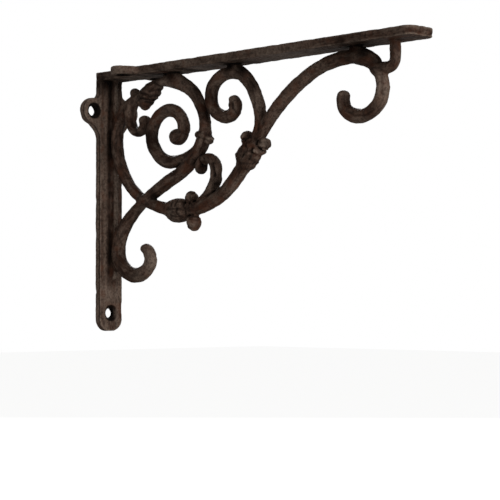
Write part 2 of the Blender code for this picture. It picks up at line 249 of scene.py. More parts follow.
def outline_distance(outline, along, out):
    """Distance to a closed outline, negative inside, by its nearest edge and the even-odd rule."""
    along, out = np.broadcast_arrays(along, out)
    nearest = np.full(along.shape, 1e9)
    inside = np.zeros(along.shape, bool)
    for (ax, ay), (bx, by) in zip(outline, outline[1:] + outline[:1]):
        ex, ey = bx - ax, by - ay
        wx, wy = along - ax, out - ay
        t = np.clip((wx * ex + wy * ey) / max(ex * ex + ey * ey, 1e-12), 0.0, 1.0)
        nearest = np.minimum(nearest, (wx - t * ex) ** 2 + (wy - t * ey) ** 2)
        if ay != by:
            inside ^= ((ay > out) != (by > out)) & (along < ax + ex * (out - ay) / ey)
    return np.sqrt(nearest) * np.where(inside, -1.0, 1.0)


def rounded(flat, across, soft):
    """A plate from its outline distance and its distance past either face, with soft edges."""
    a, b = flat + soft, across + soft
    return np.minimum(np.maximum(a, b), 0.0) + np.hypot(np.maximum(a, 0.0), np.maximum(b, 0.0)) - soft


def both_sides(edge):
    """Closed outline from one edge and its mirror image."""
    return edge + [(along, -out) for along, out in edge[::-1]]


def end_corner(long, half, round_by, steps):
    """Quarter circle that rounds the free end of a plate."""
    return arc((long - round_by, half - round_by), round_by, 90, 0, steps)


strap_edge = [(0.0, STRAP_HALF)] + ear_edge(STRAP_HALF, STRAP_HALF, STRAP_EARS, STRAP_FILLETS)
strap_edge += end_corner(STRAP_LONG, STRAP_HALF, STRAP_ROUND, 16)
arm_edge = [(0.0, ARM_HALF_AT_WALL)] + ear_edge(ARM_HALF_AT_WALL, ARM_HALF, ARM_EARS, ARM_FILLETS)
arm_edge += end_corner(ARM_LONG, ARM_HALF, ARM_ROUND, 12)
print("strap outline", len(strap_edge), "points, arm outline", len(arm_edge), "points")

# %% Plates into the field
STRAP_THICK, ARM_THICK, PLATE_SOFT, PLATE_BLEND = 4.5, 4.8, 0.55, 0.6
STRAP_PARTING, ARM_PARTING = 3.2, 3.5


def parting_line(flat, across, height):
    """Groove left by the two halves of the mould: 0.35 * exp(-(h / 0.5)^2 - flat^2), h from its height."""
    return 0.35 * np.exp(-(((across - height) / 0.5) ** 2) - flat**2)


box = (window(GRID_X, -3, 8), slice(None), slice(None))
flat = outline_distance(both_sides(strap_edge), -GRID_Z[None, :], GRID_Y[:, None])[None]
height = GRID_X[box[0]][:, None, None]
plate = rounded(flat, np.abs(height - STRAP_THICK / 2) - STRAP_THICK / 2, PLATE_SOFT)
add(box, plate + parting_line(flat, height, STRAP_PARTING), PLATE_BLEND)

box = (slice(None), slice(None), window(GRID_Z, -9, 3))
flat = outline_distance(both_sides(arm_edge), GRID_X[:, None], GRID_Y[None, :])[:, :, None]
height = -GRID_Z[box[2]]
plate = rounded(flat, np.abs(height - ARM_THICK / 2) - ARM_THICK / 2, PLATE_SOFT)
add(box, plate + parting_line(flat, height, ARM_PARTING), PLATE_BLEND)
print("strap and arm placed:", int((field < 0).sum()), "samples inside")

# %% Rib into the field
RIB_HALF, RIB_REACH, RIB_BACK, RIB_SOFT, RIB_FILLET = 1.1, 9.4, 1.0, 0.7, 2.2
RIB_HEAD, RIB_FOOT = -1.5, -122.0

box = (window(GRID_X, -3, 14), window(GRID_Y, 0, 8), slice(None))
foot = np.clip((RIB_FOOT + 4.0 - GRID_Z) / 6.0, 0.0, 1.0)
reach = RIB_REACH - 5.0 * foot**2
half = RIB_HALF - 0.3 * foot**2
ends = np.maximum(RIB_FOOT - GRID_Z, GRID_Z - RIB_HEAD)
sides = np.maximum(GRID_Y[box[1]][:, None] - half, ends)
middle = reach / 2 + RIB_BACK / 2
front = np.abs(GRID_X[box[0]][:, None, None] - middle) - reach / 2 + RIB_BACK / 2
add(box, rounded(sides[None], front, RIB_SOFT), RIB_FILLET)
print("rib placed, from", RIB_HEAD, "to", RIB_FOOT, "mm")

# %% [markdown]
# ## Rods
#
# A rod is full width at the middle plane and bevelled to a narrow flat on each side, as the moulder's
# pattern leaves it. Its section is the smooth maximum of three half planes: across, from side to
# side, and the bevel. The distance from the limb's path is found at every grid column, and the width
# is read at the nearest point of the path. PLAN keeps, for each column, how far it lies past the
# nearest limb's edge, how far along that limb it is, and how far across.

# %% Rods into the field
ROD_BLEND, EDGE_SOFT, BEVEL_SOFT = 1.3, 0.12, 0.3
BEVEL_FROM = (0.38, 1.0)
BEVEL_TO = (1.0, 0.30)


def nearest_on(path, x, z):
    """Index of the nearest path point, and the distance to it, for each column of a window."""
    index = np.empty((len(x), len(z)), int)
    apart = np.empty((len(x), len(z)))
    for i, column in enumerate(x):
        gaps = (path[:, 0] - column) ** 2 + (path[:, 1] - z[:, None]) ** 2
        index[i] = gaps.argmin(axis=1)
        apart[i] = np.sqrt(gaps[np.arange(len(z)), index[i]])
    return index, apart


PLAN = np.full((3, len(GRID_X), len(GRID_Z)), 9.0)


def rod(pieces, widths, depth):
    """One limb: the smooth maximum of plan - 1, side - 1 and the bevel, times the lesser half size."""
    path, at = evenly(*pieces)
    half = smooth(widths, at / at[-1] * (len(widths) - 1)) / 2
    reach = half.max() + MARGIN
    low, high = path.min(axis=0) - reach, path.max(axis=0) + reach
    deep = window(GRID_Y, 0, depth / 2 + MARGIN)
    box = (window(GRID_X, low[0], high[0]), deep, window(GRID_Z, low[1], high[1]))
    index, apart = nearest_on(path, GRID_X[box[0]], GRID_Z[box[2]])
    wide = half[index]
    slope = np.array([BEVEL_FROM[1] - BEVEL_TO[1], BEVEL_TO[0] - BEVEL_FROM[0]])
    slope /= np.hypot(*slope)
    plan = (apart / wide)[:, None, :]
    side = (GRID_Y[box[1]] / (depth / 2))[None, :, None]
    bevel = slope[0] * plan + slope[1] * side - slope @ np.array(BEVEL_TO)
    value = -joined(joined(1 - plan, 1 - side, EDGE_SOFT), -bevel, BEVEL_SOFT)
    ahead = np.gradient(path, axis=0) / np.hypot(*np.gradient(path, axis=0).T)[:, None]
    off_x, off_z = GRID_X[box[0]][:, None] - path[index, 0], GRID_Z[box[2]] - path[index, 1]
    across = ahead[index, 0] * off_z - ahead[index, 1] * off_x
    here = PLAN[:, box[0], box[2]]
    here[:] = np.where(apart - wide < here[0], [apart - wide, at[index], across], here)
    add(box, value * np.minimum(wide, depth / 2)[:, None, :], ROD_BLEND)
    return path


PATHS = {name: rod(*limb) for name, limb in LIMBS.items()}
print("rods placed:", sum(len(path) for path in PATHS.values()), "path points")

# %% [markdown]
# ## Bosses and buds
#
# Scroll ends and knobs are balls or lenses. A bud is an ellipsoid along a heading.

# %% Bosses into the field


def boss(x, z, long, high, deep, tilt=0.0, blend=0.9):
    """Ellipsoid: sqrt((u / long)^2 + (v / high)^2 + (y / deep)^2) = 1, with u along the tilt."""
    reach = max(long, high) + MARGIN
    wide = window(GRID_X, x - reach, x + reach)
    box = (wide, window(GRID_Y, 0, deep + MARGIN), window(GRID_Z, z - reach, z + reach))
    dx, dz = GRID_X[box[0]][:, None, None] - x, GRID_Z[box[2]] - z
    axis, up = direction(tilt), direction(tilt + 90)
    u, v = dx * axis[0] + dz * axis[1], dx * up[0] + dz * up[1]
    y = GRID_Y[box[1]][:, None]
    value = np.sqrt((u / long) ** 2 + (v / high) ** 2 + (y / deep) ** 2) - 1
    add(box, value * min(long, high, deep), blend)


boss(62.9, -41.7, 4.9, 4.7, 4.4)
boss(83.0, -60.2, 3.8, 3.1, 3.9, 84)
boss(35.0, -30.7, 2.8, 2.8, 3.6)
boss(109.9, -27.6, 2.8, 2.8, 3.8)
boss(81.8, -41.9, 2.6, 2.5, 3.3, blend=1.4)
boss(89.2, -45.3, 2.6, 2.6, 3.3, blend=1.4)
boss(64.6, -83.4, 11.0, 7.0, 6.0, -2, blend=1.2)
boss(75.2, -76.6, 3.7, 3.8, 4.2, blend=1.2)
boss(77.0, -90.4, 5.4, 4.1, 4.6, 82, blend=1.2)
boss(121.8, -55.5, 9.8, 6.9, 5.8, 55, blend=1.2)
boss(116.5, -56.2, 3.8, 3.2, 4.4, 80, blend=1.8)
boss(128.9, -53.7, 3.0, 2.7, 4.4, blend=1.6)
boss(119.8, -46.0, 3.7, 3.1, 4.2, 62, blend=1.4)
boss(133.8, -50.5, 3.3, 3.2, 4.0, blend=1.4)
boss(38.8, -15.3, 10.8, 5.6, 5.6, 31, blend=1.2)
boss(25.9, -13.5, 2.7, 2.7, 3.2, blend=1.0)
boss(35.4, -20.4, 4.0, 2.9, 3.6, 75, blend=1.2)
print("bosses and buds placed")

# %% [markdown]
# ## Carved folds
#
# The buds are leaves folded over a bead, and a tie is lashed round the ring. The moulder cut these as
# short grooves and left beads between them. Each stroke here is a line on the pattern's plan. It lowers
# the surface beside it, or raises it where its depth is negative.

# %% Strokes of the carver's gouge


def from_line(points, x, z):
    """Squared distance to a line through points: the least of |p - a - t e|^2, t held in 0 to 1."""
    nearest = np.full(np.broadcast_shapes(x.shape, z.shape), 1e9)
    for (ax, az), (bx, bz) in zip(points[:-1], points[1:]):
        ex, ez = bx - ax, bz - az
        t = np.clip(((x - ax) * ex + (z - az) * ez) / (ex * ex + ez * ez), 0.0, 1.0)
        nearest = np.minimum(nearest, (x - ax - t * ex) ** 2 + (z - az - t * ez) ** 2)
    return nearest


def carve(points, radius, depth):
    """Adds depth * exp(-(d / radius)^2) to the field, d being the distance from a line through points."""
    points = np.array(points)
    low, high = points.min(axis=0) - 2.5 * radius, points.max(axis=0) + 2.5 * radius
    box = (window(GRID_X, low[0], high[0]), slice(None), window(GRID_Z, low[1], high[1]))
    x, z = GRID_X[box[0]][:, None], GRID_Z[box[2]][None, :]
    field[box] += (depth * np.exp(-from_line(points, x, z) / radius**2)).astype(np.float32)[:, None, :]


STROKES = {
    "lower bud": [
        ([(63.2, -78.9), (64.1, -81.4)], 0.7, 0.55),
        ([(66.6, -78.2), (67.0, -81.3)], 0.7, 0.6),
        ([(71.7, -78.7), (72.1, -81.7)], 0.8, 0.7),
        ([(75.9, -79.9), (77.1, -82.5)], 0.7, 0.5),
        ([(58.9, -82.9), (64.1, -82.8), (68.3, -82.7)], 0.7, 0.55),
        ([(68.3, -82.4), (68.1, -84.4), (69.1, -86.7)], 0.7, 0.55),
        ([(73.6, -82.4), (73.9, -84.6), (72.9, -86.8)], 0.7, 0.55),
        ([(70.8, -84.5), (70.8, -85.1)], 1.5, -0.6),
        ([(63.2, -86.2), (67.5, -87.2)], 0.7, 0.5),
        ([(74.2, -87.1), (78.4, -86.5)], 0.7, 0.5),
        ([(68.3, -88.3), (68.7, -89.8)], 0.7, 0.4),
        ([(75.9, -84.1), (80.0, -84.0)], 0.8, 0.4),
    ],
    "lower knobs": [
        ([(78.0, -78.6), (82.5, -79.1)], 0.7, 0.5),
        ([(79.2, -74.8), (80.0, -77.6)], 0.9, -0.3),
        ([(82.1, -88.8), (82.9, -92.7)], 0.7, 0.45),
        ([(78.4, -87.6), (85.0, -87.0)], 0.7, 0.6),
        ([(74.0, -88.6), (74.4, -91.6), (75.8, -94.2)], 0.8, 0.6),
        ([(76.2, -86.6), (77.6, -88.8), (80.6, -89.4)], 0.6, 0.4),
        ([(73.4, -75.2), (75.4, -73.6), (77.8, -74.6)], 0.6, 0.4),
    ],
    "upper bud": [
        ([(121.6, -56.7), (123.0, -55.6)], 0.9, 0.75),
        ([(125.6, -58.2), (126.5, -56.6)], 0.8, 0.7),
        ([(128.1, -52.9), (127.7, -54.8)], 0.8, 0.8),
        ([(123.4, -50.6), (124.2, -51.6)], 0.8, 0.75),
        ([(132.4, -49.1), (133.8, -50.2)], 0.8, 0.35),
        ([(131.2, -52.3), (131.9, -53.4)], 0.7, 0.5),
        ([(121.4, -48.4), (121.0, -52.0), (118.6, -57.4)], 0.7, 0.4),
        ([(132.0, -52.8), (134.4, -52.6), (136.0, -53.6)], 0.6, 0.4),
        ([(117.6, -47.0), (119.6, -47.8), (121.8, -46.8)], 0.6, 0.45),
        ([(136.1, -49.7), (136.4, -52.7)], 0.8, 0.5),
        ([(126.1, -44.7), (126.9, -46.9)], 0.8, 0.7),
        ([(132.4, -39.8), (132.0, -43.0)], 0.8, 0.5),
        ([(120.3, -53.0), (121.1, -54.1)], 0.8, 0.4),
        ([(130.0, -54.4), (130.8, -55.0)], 1.1, -0.45),
        ([(133.8, -54.1), (134.2, -54.7)], 1.1, -0.4),
        ([(125.4, -54.5), (125.8, -54.9)], 1.1, -0.4),
        ([(119.9, -58.9), (121.9, -60.3)], 1.2, -0.35),
        ([(128.8, -47.3), (130.0, -48.8)], 0.7, 0.45),
        ([(118.4, -59.9), (125.8, -61.1)], 0.8, 0.35),
        ([(138.2, -53.1), (138.6, -53.5)], 0.6, 0.5),
        ([(136.9, -51.1), (137.2, -51.4)], 0.6, 0.45),
        ([(125.8, -62.4), (131.9, -60.7)], 0.8, 0.3),
    ],
    "leaf": [
        ([(35.3, -17.8), (40.7, -18.8), (45.1, -19.5)], 0.7, 0.75),
        ([(39.4, -20.0), (41.1, -20.6)], 0.9, 0.8),
        ([(37.1, -15.1), (42.4, -16.4)], 0.7, 0.6),
        ([(42.4, -17.5), (46.8, -16.5)], 0.7, 0.6),
        ([(45.1, -14.1), (49.0, -13.6)], 0.8, 0.5),
        ([(46.8, -9.4), (50.3, -12.0)], 0.7, 0.6),
        ([(50.3, -16.3), (53.8, -14.6)], 0.7, 0.5),
        ([(39.3, -17.2), (40.2, -17.5)], 0.9, -0.35),
        ([(44.2, -17.7), (45.1, -17.7)], 0.9, -0.35),
        ([(33.1, -17.0), (34.9, -19.2)], 0.7, 0.5),
        ([(37.1, -22.3), (39.3, -23.6)], 0.8, 0.4),
        ([(50.0, -12.2), (55.2, -12.1)], 0.7, 0.35),
    ],
    "collar": [
        ([(86.4, -41.0), (91.7, -43.6), (95.0, -45.2)], 0.6, 0.4),
        ([(85.6, -43.7), (90.1, -45.4), (93.7, -47.6)], 0.6, 0.4),
        ([(88.8, -42.3), (92.1, -44.7)], 0.8, -0.3),
        ([(91.3, -47.4), (91.7, -49.4)], 0.7, 0.5),
    ],
    "curl": [
        ([(95.9, -58.5), (96.7, -62.4), (96.9, -65.7)], 0.55, 0.75),
        ([(99.8, -57.3), (101.2, -61.0), (101.0, -65.9)], 0.6, 0.5),
        ([(102.9, -58.9), (103.6, -62.8)], 0.6, -0.25),
        ([(85.4, -55.7), (85.6, -59.5)], 0.6, 0.7),
        ([(89.4, -55.6), (89.8, -58.7)], 0.6, 0.45),
        ([(97.0, -70.4), (102.2, -70.6)], 1, 0.7),
    ],
    "spiral heart": [
        ([(62.6, -39.6), (66.9, -39.1), (70.7, -40.7)], 0.7, 0.35),
        ([(65.2, -43.2), (68.6, -42.0)], 0.7, 0.3),
    ],
    "six": [
        ([(112.1, -27.1), (112.2, -30.4)], 0.6, 0.6),
        ([(128.6, -18.0), (131.3, -24.2), (132.4, -30.2)], 0.6, -0.2),
        ([(126.3, -20.0), (128.6, -25.5), (129.4, -31.0)], 0.6, 0.4),
    ],
    "end": [
        ([(195.7, -37.7), (201.9, -41.0), (208.7, -41.3), (214.1, -39.0)], 0.6, 0.45),
        ([(193.1, -30.7), (194.1, -34.3)], 0.6, 0.3),
        ([(219.1, -21.4), (220.1, -26.5), (219.4, -31.4)], 0.6, 0.35),
    ],
    "hook": [
        ([(22.5, -118.1), (29.7, -120.2), (35.9, -119.4)], 0.7, 0.3),
        ([(40.4, -112.0), (42.1, -108.0)], 0.7, 0.3),
    ],
}
for strokes in STROKES.values():
    for points, radius, depth in strokes:
        carve(points, radius, depth)
print(sum(len(strokes) for strokes in STROKES.values()), "strokes carved on", ", ".join(STROKES))

# %% [markdown]
# ## Countersunk holes
#
# Five holes: three through the strap, whose mouths face away from the wall, and two through the arm,
# whose mouths face down. The mouth's side slopes at 45 degrees, so its plain distance is cut a little
# to stay near the true one.

# %% Holes out of the field
THROAT, MOUTH_DEEP, FOOT_HOLE = 2.9, 1.7, 141.5
MOUTH_SCALE, RIM_SOFT = 0.85, 0.5


def hole(away, first, first_at, second, second_at, height, thick):
    """Cuts a hole: its radius is the throat's, and grows one for one over the last stretch to the rim."""
    opening = THROAT + np.maximum(height - (thick - MOUTH_DEEP), 0.0)
    value = (opening - np.hypot(first - first_at, second - second_at)) * MOUTH_SCALE
    field[away] = -joined(-field[away], -value, RIM_SOFT)


y = GRID_Y[:, None]
box = (window(GRID_X, -3, 8), slice(None), slice(None))
for out, z in ((EAR_OUT, -STRAP_EARS), (0.0, -FOOT_HOLE)):
    hole(box, y, out, GRID_Z, z, GRID_X[box[0]][:, None, None], STRAP_THICK)
box = (slice(None), slice(None), window(GRID_Z, -9, 3))
hole(box, GRID_X[:, None, None], ARM_EARS, y, EAR_OUT, -GRID_Z[box[2]], ARM_THICK)
print("five holes cut,", 2 * THROAT, "mm in the throat,", 2 * (THROAT + MOUTH_DEEP), "mm at the rim")

# %% [markdown]
# ## Sand-cast unevenness
#
# Iron poured in sand is never quite flat. A sum of sine waves with random headings and lengths shifts
# the surface by about a tenth of a millimetre. On the buds, deeper and shorter waves crumple the
# leaves. Only the samples beside the surface are changed.

# %% Waves in the cast skin
# Each bud is x, z and radius.
BUDS = [(121.0, -56.5, 8.5), (125.5, -49.5, 6.0), (60.5, -83.2, 6.5), (69.0, -83.4, 6.5), (40.0, -15.2, 9.0)]


def waves(places, count, shortest, longest, seed):
    """Sum of sin(k . p + phase) over random wave vectors k, scaled to stay near -1 to 1."""
    rng = np.random.default_rng(seed)
    headings = rng.normal(size=(count, 3))
    headings /= np.linalg.norm(headings, axis=1)[:, None]
    lengths = rng.uniform(shortest, longest, count)
    total = np.zeros(len(places))
    for heading_of, length, phase in zip(headings, lengths, rng.uniform(0, 2 * math.pi, count)):
        total += np.sin(places @ (heading_of * (2 * math.pi / length)) + phase)
    return total / math.sqrt(count)


def folds(places):
    """Leaf relief: short waves times exp(-(d / r)^8), d being the distance from a bud's middle."""
    on_bud = np.zeros(len(places))
    for bud_x, bud_z, size in BUDS:
        apart = np.hypot(places[:, 0] - bud_x, places[:, 2] - bud_z) / size
        on_bud = np.maximum(on_bud, np.exp(-(np.minimum(apart, 3.0) ** 8)))
    return on_bud * waves(places, 14, 2.4, 4.2, 9)


near = np.nonzero(np.abs(field) < 1.2)
places = np.stack([GRID_X[near[0]], GRID_Y[near[1]], GRID_Z[near[2]]], axis=1)
skin = 0.09 * waves(places, 16, 4.0, 11.0, 5) + 0.05 * waves(places, 16, 1.8, 3.6, 6)
field[near] += skin + 0.22 * folds(places)
print("cast skin laid over", len(places), "samples")

# %% [markdown]
# ## Surface net
#
# Each grid edge that crosses the surface gives a crossing point by linear interpolation. A cell's
# vertex is the mean of the crossings on its edges, and each crossing edge becomes a quad between its
# four cells, turned to face outwards.

# %% Field to mesh


def surface_net(values, low, step):
    """Vertices and quads where the sampled field passes through zero."""
    inside = values < 0
    cells, crossings, faces_up = [], [], []
    for axis in range(3):
        order = [axis, (axis + 1) % 3, (axis + 2) % 3]
        turned, within = values.transpose(order), inside.transpose(order)
        i = np.argwhere(within[1:] != within[:-1])
        below = turned[i[:, 0], i[:, 1], i[:, 2]]
        above = turned[i[:, 0] + 1, i[:, 1], i[:, 2]]
        at = i.astype(float)
        at[:, 0] += below / (below - above)
        round_edge = i[:, None, :] + np.array([(0, -1, -1), (0, 0, -1), (0, 0, 0), (0, -1, 0)])
        back = np.argsort(order)
        round_edge, at = round_edge[:, :, back], at[:, back]
        cells.append(round_edge)
        crossings.append(np.repeat(at[:, None, :], 4, axis=1))
        faces_up.append(below < 0)
    cells = np.concatenate(cells)
    crossings = np.concatenate(crossings).reshape(-1, 3)
    faces_up = np.concatenate(faces_up)
    key = np.ravel_multi_index(cells.reshape(-1, 3).T, values.shape)
    _, vertex = np.unique(key, return_inverse=True)
    count = np.bincount(vertex)
    points = np.stack([np.bincount(vertex, crossings[:, i]) / count for i in range(3)], axis=1)
    quads = vertex.reshape(-1, 4)
    quads[~faces_up] = quads[~faces_up, ::-1]
    return low + points * step, quads


def mesh_of(name, points, quads):
    """A Blender mesh from numpy arrays of vertices and quads."""
    mesh = bpy.data.meshes.new(name)
    mesh.vertices.add(len(points))
    mesh.vertices.foreach_set("co", points.astype(np.float32).ravel())
    mesh.loops.add(quads.size)
    mesh.loops.foreach_set("vertex_index", quads.astype(np.int32).ravel())
    mesh.polygons.add(len(quads))
    mesh.polygons.foreach_set("loop_start", np.arange(0, quads.size, 4, dtype=np.int32))
    mesh.update(calc_edges=True)
    mesh.validate()
    return mesh


whole = np.concatenate([field[:, ::-1], field], axis=1)
corner = np.array([GRID_X[0], -GRID_Y[-1], GRID_Z[0] + TOP])
points, quads = surface_net(whole, corner, STEP)
raw = bpy.data.objects.new("casting_raw", mesh_of("casting_raw", points * MM, quads))
bpy.context.scene.collection.objects.link(raw)
print("surface net:", len(points), "vertices,", 2 * len(quads), "triangles")

# %% [markdown]
# ## Smoothing and thinning
#
# Smoothing removes the grid's steps. The mesh is then thinned where it is flat, keeps its triangles
# where it curves, and is held inside the CAD box, which also dresses the two faces that mate flat.

# %% The finished casting
MOST_TRIANGLES = 190_000
smoothing = raw.modifiers.new("Settle", "SMOOTH")
smoothing.factor = 0.5
smoothing.iterations = 2
thinning = raw.modifiers.new("Thin", "DECIMATE")
thinning.ratio = min(1.0, MOST_TRIANGLES / (2 * len(quads)))
graph = bpy.context.evaluated_depsgraph_get()
mesh = bpy.data.meshes.new_from_object(raw.evaluated_get(graph))
mesh.name = "casting"
casting = bpy.data.objects.new("casting", mesh)
bpy.context.scene.collection.objects.link(casting)
bpy.data.objects.remove(raw)
mesh.polygons.foreach_set("use_smooth", np.ones(len(mesh.polygons), bool))
places = np.empty((len(mesh.vertices), 3), np.float32)
mesh.vertices.foreach_get("co", places.ravel())
places = np.clip(places, *np.array(cad_box)).astype(np.float32)
mesh.vertices.foreach_set("co", places.ravel())
mesh.update()
places = places / MM
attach(casting, "root")
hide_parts("bracket")
print("casting:", len(mesh.polygons), "faces")

# %% [markdown]
# ## Where paint and grime gather
#
# Corners get painted shade, near black, and sharp edges are grey, partly thin worn paint and partly
# painted edge highlight. How enclosed a place is comes from the field: the share of iron in a small
# block round it. A flat face has one half, an inside corner more, an edge less. The painted shade and
# the pale edges are worked out from that share and stored on the mesh as attributes, so that they
# stay with the surface in every view.

# %% Share of iron round each place


def block_mean(values, reach):
    """Mean over 2 * reach + 1 samples along each axis, taken twice to round off the block."""
    for axis in (0, 1, 2) * 2:
        size = values.shape[axis]
        padded = np.pad(values, [(reach + 1, reach) if i == axis else (0, 0) for i in range(3)])
        run = np.cumsum(padded, axis=axis)
        ahead = np.take(run, range(2 * reach + 1, 2 * reach + 1 + size), axis)
        values = (ahead - np.take(run, range(size), axis)) / (2 * reach + 1)
    return values


def read_grid(values, low, step, places):
    """Trilinear reading of a grid: the eight samples round a place, weighted by nearness."""
    at = np.clip((places - low) / step, 0.0, np.array(values.shape) - 1.001)
    base = at.astype(int)
    part = at - base
    total = np.zeros(len(places))
    for i, j, k in np.ndindex(2, 2, 2):
        weight = np.prod(np.where((i, j, k), part, 1 - part), axis=1)
        total += weight * values[base[:, 0] + i, base[:, 1] + j, base[:, 2] + k]
    return total


MERGE = max(1, round(0.8 / STEP))
iron = np.clip(0.5 - whole / STEP, 0.0, 1.0)
blocks = [count // MERGE for count in iron.shape]
iron = iron[tuple(slice(count * MERGE) for count in blocks)]
iron = iron.reshape([n for count in blocks for n in (count, MERGE)]).mean(axis=(1, 3, 5))
first_block = corner + (MERGE - 1) / 2 * STEP
close = read_grid(block_mean(iron, 2), first_block, STEP * MERGE, places)
wide = read_grid(block_mean(iron, 6), first_block, STEP * MERGE, places)
for label, share in (("near", close), ("far", wide)):
    print("share of iron,", label, np.percentile(share, (5, 50, 95)).round(2))

# %% [markdown]
# Two short lists add dark spots of painted shade, where shadow falls, and pale spots of painted
# highlight, where light falls brightest.

# %% Spots of painted shade and painted highlight
# Each mark is x, z, radius and amount, and reaches through from side to side.
# Painted shade: dark spots where shadow falls, under the arm and on limbs that other limbs shade.
PAINTED_SHADE_SPOTS = [
    (5.0, -6.0, 5.0, 0.8), (74.0, -7.5, 4.5, 0.9), (81.0, -16.0, 5.0, 0.6), (88.5, -28.0, 4.5, 0.6),
    (118.0, -9.0, 5.0, 0.9), (127.0, -17.0, 4.5, 0.7), (207.0, -8.5, 5.5, 0.9), (215.0, -15.0, 4.5, 0.7),
    (198.0, -7.0, 5.0, 0.8), (60.0, -6.0, 3.0, 0.8), (108.0, -6.5, 3.5, 0.8), (13.0, -8.0, 5.0, 0.95),
    (25.0, -9.0, 4.5, 0.8), (37.0, -9.0, 4.5, 0.8), (48.0, -7.0, 3.5, 0.7), (86.5, -52.5, 3.0, 0.85),
    (80.0, -58.0, 3.5, 0.6), (99.5, -71.0, 4.0, 0.9), (85.2, -61.0, 2.2, 0.7), (46.0, -75.0, 3.0, 0.85),
    (84.0, -63.5, 2.2, 0.8), (30.0, -9.8, 2.2, 0.8), (32.0, -38.0, 3.0, 0.6), (41.0, -43.0, 8.0, 0.85),
    (92.0, -22.0, 6.0, 0.6), (10.0, -47.0, 9.0, 0.35),
]
# Painted highlights: pale spots where light falls brightest and where the finish shines.
PAINTED_HIGHLIGHT_SPOTS = [
    (40.5, -111.0, 7.0, 0.8), (217.5, -28.0, 8.0, 0.8), (26.0, -2.0, 14.0, 1.0), (55.0, -12.0, 6.0, 0.9),
    (63.0, -84.0, 6.0, 0.5), (4.5, -130.0, 9.0, 0.45), (129.5, -27.0, 6.5, 0.7), (78.4, -91.6, 1.8, 0.6),
    (75.0, -3.0, 18.0, 0.6), (110.0, -3.0, 16.0, 0.5), (76.6, -75.6, 1.6, 0.6), (120.6, -44.4, 1.6, 0.5),
    (135.0, -50.0, 2.3, 0.8), (150.0, -4.0, 22.0, 0.6), (96.0, -72.0, 6.0, 0.6), (102.0, -62.0, 5.0, 0.5),
    (58.0, -29.0, 5.0, 0.4), (204.0, -42.0, 5.0, 0.5), (33.0, -119.0, 5.0, 0.4),
]
x, out, z = places[:, 0], np.abs(places[:, 1]), places[:, 2] - TOP


def spots(marks):
    """The strongest of amount * exp(-(d / radius)^2) over the marks, d being the distance from each."""
    total = np.zeros(len(places))
    for at_x, at_z, radius, amount in marks:
        apart = (x - at_x) ** 2 + (z - at_z) ** 2
        total = np.maximum(total, amount * np.exp(-apart / radius**2))
    return total


# Dark spots of painted shade, and pale spots of painted highlight.
spot_shade, rubbed = spots(PAINTED_SHADE_SPOTS), spots(PAINTED_HIGHLIGHT_SPOTS)
print(len(PAINTED_SHADE_SPOTS), "stains and", len(PAINTED_HIGHLIGHT_SPOTS), "rubbed spots")

# %% [markdown]
# The crease between the strap and its rib gets painted shadow, blackest where a limb stands close in
# front of it, and up under the arm. The strap's sides are painted pale as painted light, and so are the
# faces beside the crease, against the shadow that the limbs throw there. The parting groove is dark.

# %% Crease, sides and faces of the strap
CREASE_X, CREASE_OUT, CREASE_RADIUS, HEM_REACH = 5.0, 1.4, 1.4, 2.5
FACE_OUT, FACE_WIDE, UNDER_ARM = 4.6, 1.7, -9.0


def ramp(values, low, high):
    """0 below low, 1 above high, and 3t^2 - 2t^3 between them."""
    t = np.clip((values - low) / (high - low), 0.0, 1.0)
    return t * t * (3 - 2 * t)


past_limb, along, across = (
    read_grid(np.repeat(kept[:, None], 2, axis=1), corner * (1, 0, 1), STEP, places) for kept in PLAN
)
# Painted shadow in the crease: strongest where a limb stands close in front, and up under the arm.
hemmed = np.maximum(np.exp(-((np.maximum(past_limb, 0.0) / HEM_REACH) ** 2)), ramp(z, -34.0, -18.0))
hemmed *= ramp(z, RIB_FOOT + 1.0, RIB_FOOT + 8.0) * ramp(-z, 4.4, 6.0)
crease_shadow = hemmed * np.exp(-((x - CREASE_X) ** 2 + (out - CREASE_OUT) ** 2) / CREASE_RADIUS**2)
# Painted light on the strap's sides, and on its faces beside the crease where the limbs' shadow falls.
strap_side = ramp(out, STRAP_HALF - 0.8, STRAP_HALF - 0.1) * (x < 5.0) * (z < UNDER_ARM)
strap_face = (x > 3.0) * (x < 6.0) * (z < UNDER_ARM) * np.exp(-(((out - FACE_OUT) / FACE_WIDE) ** 2))
groove = strap_side * np.exp(-(((x - STRAP_PARTING - 0.5) / 0.5) ** 2))
print("mean crease", round(crease_shadow.mean(), 4), "mean groove", round(groove.mean(), 4))

# %% [markdown]
# Painted shade adds up from the corners, the crease, the carved cuts and the dark spots: it is one
# minus the product of what each of them leaves unshaded. The walls of the holes are painted black as
# shade.

# %% Painted shade
# Painted shade in inside corners, and weaker painted shade over wider hollows.
corner_shade = 0.97 * ramp(close, 0.57, 0.70)
shaded = 0.25 * ramp(wide, 0.52, 0.68)
grime = 1 - (1 - corner_shade) * (1 - shaded) * (1 - crease_shadow) * (1 - 0.8 * groove)
# The hole walls are painted black as shade.
strap_holes = np.minimum(np.hypot(out - EAR_OUT, z + STRAP_EARS), np.hypot(out, z + FOOT_HOLE))
arm_holes = np.hypot(x - ARM_EARS, out - EAR_OUT)
for apart, depth, thick in ((strap_holes, x, STRAP_THICK), (arm_holes, -z, ARM_THICK)):
    within = (depth > 0.3) & (depth < thick + 0.1)
    grime = np.maximum(grime, within * (1 - ramp(apart, 4.5, 5.1)))
# The faces beside the crease get less painted shade.
grime *= 1 - 0.7 * strap_face
# Painted shade in the carved cuts and the crumpled folds of the buds.
cut_shade = 0.4 * ramp(folds(np.stack([x, out, z], axis=1)), 0.2, 1.5)
for line, radius, depth in (stroke for strokes in STROKES.values() for stroke in strokes):
    if depth > 0:
        cut_shade = np.maximum(cut_shade, depth * np.exp(-from_line(line, x, z) / (0.95 * radius) ** 2))
